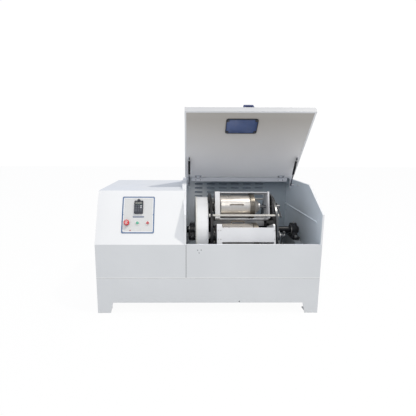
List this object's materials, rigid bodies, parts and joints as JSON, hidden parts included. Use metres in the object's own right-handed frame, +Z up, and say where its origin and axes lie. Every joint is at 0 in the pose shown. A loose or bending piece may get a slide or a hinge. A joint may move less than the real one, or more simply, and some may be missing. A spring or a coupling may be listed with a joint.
{
  "type": "planetary ball mill",
  "caption": "Horizontal planetary ball mill in a floor cabinet, with jar cages on a rotating carrier, a drive compartment and a hinged lid on struts",
  "frame": {"origin": "middle of the footprint on the floor, at the centre of the overall width and depth", "axes": "+X to the right seen from the front, +Y to the rear, +Z up"},
  "size_m": [1.5, 0.855, 1.4078],
  "materials": {
    "cabinet_paint": "white powder coat, fine texture",
    "drum_paint": "white enamel",
    "stand_paint": "light grey enamel",
    "black_paint": "black enamel, worn rims",
    "shaft_steel": "oiled dark steel",
    "cage_steel": "machined bright steel",
    "jar_steel": "satin stainless steel",
    "gear_steel": "hobbed steel, oiled",
    "bright_steel": "zinc plated",
    "pulley_iron": "machined cast iron",
    "belt_rubber": "matt rubber",
    "motor_paint": "blue enamel",
    "dark_plastic": "moulded, fine grain",
    "grip_plastic": "navy moulded grip with black feet",
    "pane": "tinted acrylic",
    "plate_print": "light grey plate with a blue border",
    "red_plastic": "moulded",
    "green_plastic": "moulded"
  },
  "bodies": {
    "root": {"base_frame": "cabinet_paint", "left_cover": "cabinet_paint", "left_rear_panel": "cabinet_paint", "chamber_front_panel": "cabinet_paint", "chamber_left_wall": "cabinet_paint", "chamber_right_wall": "cabinet_paint", "chamber_back_wall": "cabinet_paint", "rear_top_panel": "cabinet_paint", "machine_stands": "stand_paint", "pillow_blocks": "black_paint", "bearing_inserts": "bright_steel", "gear_drum": "drum_paint", "sun_gear": "gear_steel", "cabinet_fittings": "bright_steel", "motor": "motor_paint", "drive_belts": "belt_rubber", "inverter": "dark_plastic", "control_plate": "plate_print", "keypad": "dark_plastic", "button_rings": "bright_steel"},
    "carrier": {"main_shaft": "shaft_steel", "left_carrier_disc": "black_paint", "right_carrier_disc": "black_paint", "tie_rods": "bright_steel", "planet_bearings": "black_paint", "driven_pulley": "pulley_iron"},
    "cage_1": {"jar_cage_1": "cage_steel", "planet_gear_1": "gear_steel", "jar_1": "jar_steel"},
    "pad_1": {"clamp_pad_1": "bright_steel"},
    "screw_1": {"clamp_screw_1": "bright_steel"},
    "cage_2": {"jar_cage_2": "cage_steel", "planet_gear_2": "gear_steel", "jar_2": "jar_steel"},
    "pad_2": {"clamp_pad_2": "bright_steel"},
    "screw_2": {"clamp_screw_2": "bright_steel"},
    "cage_3": {"jar_cage_3": "cage_steel", "planet_gear_3": "gear_steel", "jar_3": "jar_steel"},
    "pad_3": {"clamp_pad_3": "bright_steel"},
    "screw_3": {"clamp_screw_3": "bright_steel"},
    "cage_4": {"jar_cage_4": "cage_steel", "planet_gear_4": "gear_steel", "jar_4": "jar_steel"},
    "pad_4": {"clamp_pad_4": "bright_steel"},
    "screw_4": {"clamp_screw_4": "bright_steel"},
    "lid": {"lid_pan": "cabinet_paint", "window_pane": "pane", "window_seal": "belt_rubber", "lid_handle": "grip_plastic", "lid_fittings": "bright_steel"},
    "tube_left": {"strut_tube_left": "black_paint"},
    "rod_left": {"strut_rod_left": "bright_steel"},
    "tube_right": {"strut_tube_right": "black_paint"},
    "rod_right": {"strut_rod_right": "bright_steel"},
    "stop_button": {"emergency_stop": "red_plastic"},
    "start_button": {"green_button": "green_plastic"},
    "halt_button": {"red_button": "red_plastic"},
    "knob": {"keypad_knob": "dark_plastic"},
    "rotor": {"motor_pulley": "pulley_iron"}
  },
  "joints": [
    {"name": "carrier_spin", "type": "hinge", "parent": "root", "child": "carrier", "pos_m": [0, -0.0375, 0.49], "axis": [1, 0, 0], "continuous": true},
    {"name": "jar_spin_1", "type": "hinge", "parent": "carrier", "child": "cage_1", "pos_m": [0.062, -0.0375, 0.67], "axis": [1, 0, 0], "continuous": true},
    {"name": "clamp_feed_1", "type": "slide", "parent": "cage_1", "child": "pad_1", "axis": [1, 0, 0], "range_m": [0, 0.01201]},
    {"name": "clamp_turn_1", "type": "hinge", "parent": "pad_1", "child": "screw_1", "pos_m": [0.522, -0.0375, 0.67], "axis": [1, 0, 0], "range_deg": [0, 1440]},
    {"name": "jar_spin_2", "type": "hinge", "parent": "carrier", "child": "cage_2", "pos_m": [0.062, -0.2175, 0.49], "axis": [1, 0, 0], "continuous": true},
    {"name": "clamp_feed_2", "type": "slide", "parent": "cage_2", "child": "pad_2", "axis": [1, 0, 0], "range_m": [0, 0.01201]},
    {"name": "clamp_turn_2", "type": "hinge", "parent": "pad_2", "child": "screw_2", "pos_m": [0.522, -0.2175, 0.49], "axis": [1, 0, 0], "range_deg": [0, 1440]},
    {"name": "jar_spin_3", "type": "hinge", "parent": "carrier", "child": "cage_3", "pos_m": [0.062, -0.0375, 0.31], "axis": [1, 0, 0], "continuous": true},
    {"name": "clamp_feed_3", "type": "slide", "parent": "cage_3", "child": "pad_3", "axis": [1, 0, 0], "range_m": [0, 0.01201]},
    {"name": "clamp_turn_3", "type": "hinge", "parent": "pad_3", "child": "screw_3", "pos_m": [0.522, -0.0375, 0.31], "axis": [1, 0, 0], "range_deg": [0, 1440]},
    {"name": "jar_spin_4", "type": "hinge", "parent": "carrier", "child": "cage_4", "pos_m": [0.062, 0.1425, 0.49], "axis": [1, 0, 0], "continuous": true},
    {"name": "clamp_feed_4", "type": "slide", "parent": "cage_4", "child": "pad_4", "axis": [1, 0, 0], "range_m": [0, 0.01201]},
    {"name": "clamp_turn_4", "type": "hinge", "parent": "pad_4", "child": "screw_4", "pos_m": [0.522, 0.1425, 0.49], "axis": [1, 0, 0], "range_deg": [0, 1440]},
    {"name": "lid_close", "type": "hinge", "parent": "root", "child": "lid", "pos_m": [0.3, 0.2785, 0.854], "axis": [1, 0, 0], "range_deg": [0, 47.7]},
    {"name": "strut_pivot_left", "type": "hinge", "parent": "lid", "child": "tube_left", "pos_m": [-0.13, 0.11523, 1.02452], "axis": [1, 0, 0], "range_deg": [0, 1.08]},
    {"name": "strut_slide_left", "type": "slide", "parent": "tube_left", "child": "rod_left", "axis": [0, -0.4679, 0.8838], "range_m": [0, 0.05544]},
    {"name": "strut_pivot_right", "type": "hinge", "parent": "lid", "child": "tube_right", "pos_m": [0.718, 0.11523, 1.02452], "axis": [1, 0, 0], "range_deg": [0, 1.08]},
    {"name": "strut_slide_right", "type": "slide", "parent": "tube_right", "child": "rod_right", "axis": [0, -0.4679, 0.8838], "range_m": [0, 0.05544]},
    {"name": "stop_press", "type": "slide", "parent": "root", "child": "stop_button", "axis": [0, 0.8976, -0.4408], "range_m": [0, 0.005], "stiffness_N_per_m": 900},
    {"name": "start_press", "type": "slide", "parent": "root", "child": "start_button", "axis": [0, 0.8976, -0.4408], "range_m": [0, 0.003], "stiffness_N_per_m": 700},
    {"name": "halt_press", "type": "slide", "parent": "root", "child": "halt_button", "axis": [0, 0.8976, -0.4408], "range_m": [0, 0.003], "stiffness_N_per_m": 700},
    {"name": "knob_turn", "type": "hinge", "parent": "root", "child": "knob", "pos_m": [-0.4705, -0.30514, 0.75813], "axis": [0, -0.8976, 0.4408], "range_deg": [0, 270]},
    {"name": "motor_spin", "type": "hinge", "parent": "root", "child": "rotor", "pos_m": [-0.25, -0.0375, 0.222], "axis": [1, 0, 0], "continuous": true}
  ],
  "couplings": [
    {"joint": "jar_spin_1", "follows": "carrier_spin", "ratio": 2},
    {"joint": "clamp_feed_1", "follows": "clamp_turn_1", "m_per_rad": 0.00047746},
    {"joint": "jar_spin_2", "follows": "carrier_spin", "ratio": 2},
    {"joint": "clamp_feed_2", "follows": "clamp_turn_2", "m_per_rad": 0.00047746},
    {"joint": "jar_spin_3", "follows": "carrier_spin", "ratio": 2},
    {"joint": "clamp_feed_3", "follows": "clamp_turn_3", "m_per_rad": 0.00047746},
    {"joint": "jar_spin_4", "follows": "carrier_spin", "ratio": 2},
    {"joint": "clamp_feed_4", "follows": "clamp_turn_4", "m_per_rad": 0.00047746},
    {"joint": "strut_pivot_left", "follows": "lid_close", "ratio": 0.02262},
    {"joint": "strut_slide_left", "follows": "lid_close", "m_per_rad": 0.066526},
    {"joint": "strut_pivot_right", "follows": "lid_close", "ratio": 0.02262},
    {"joint": "strut_slide_right", "follows": "lid_close", "m_per_rad": 0.066526},
    {"joint": "motor_spin", "follows": "carrier_spin", "ratio": 2.675}
  ]
}
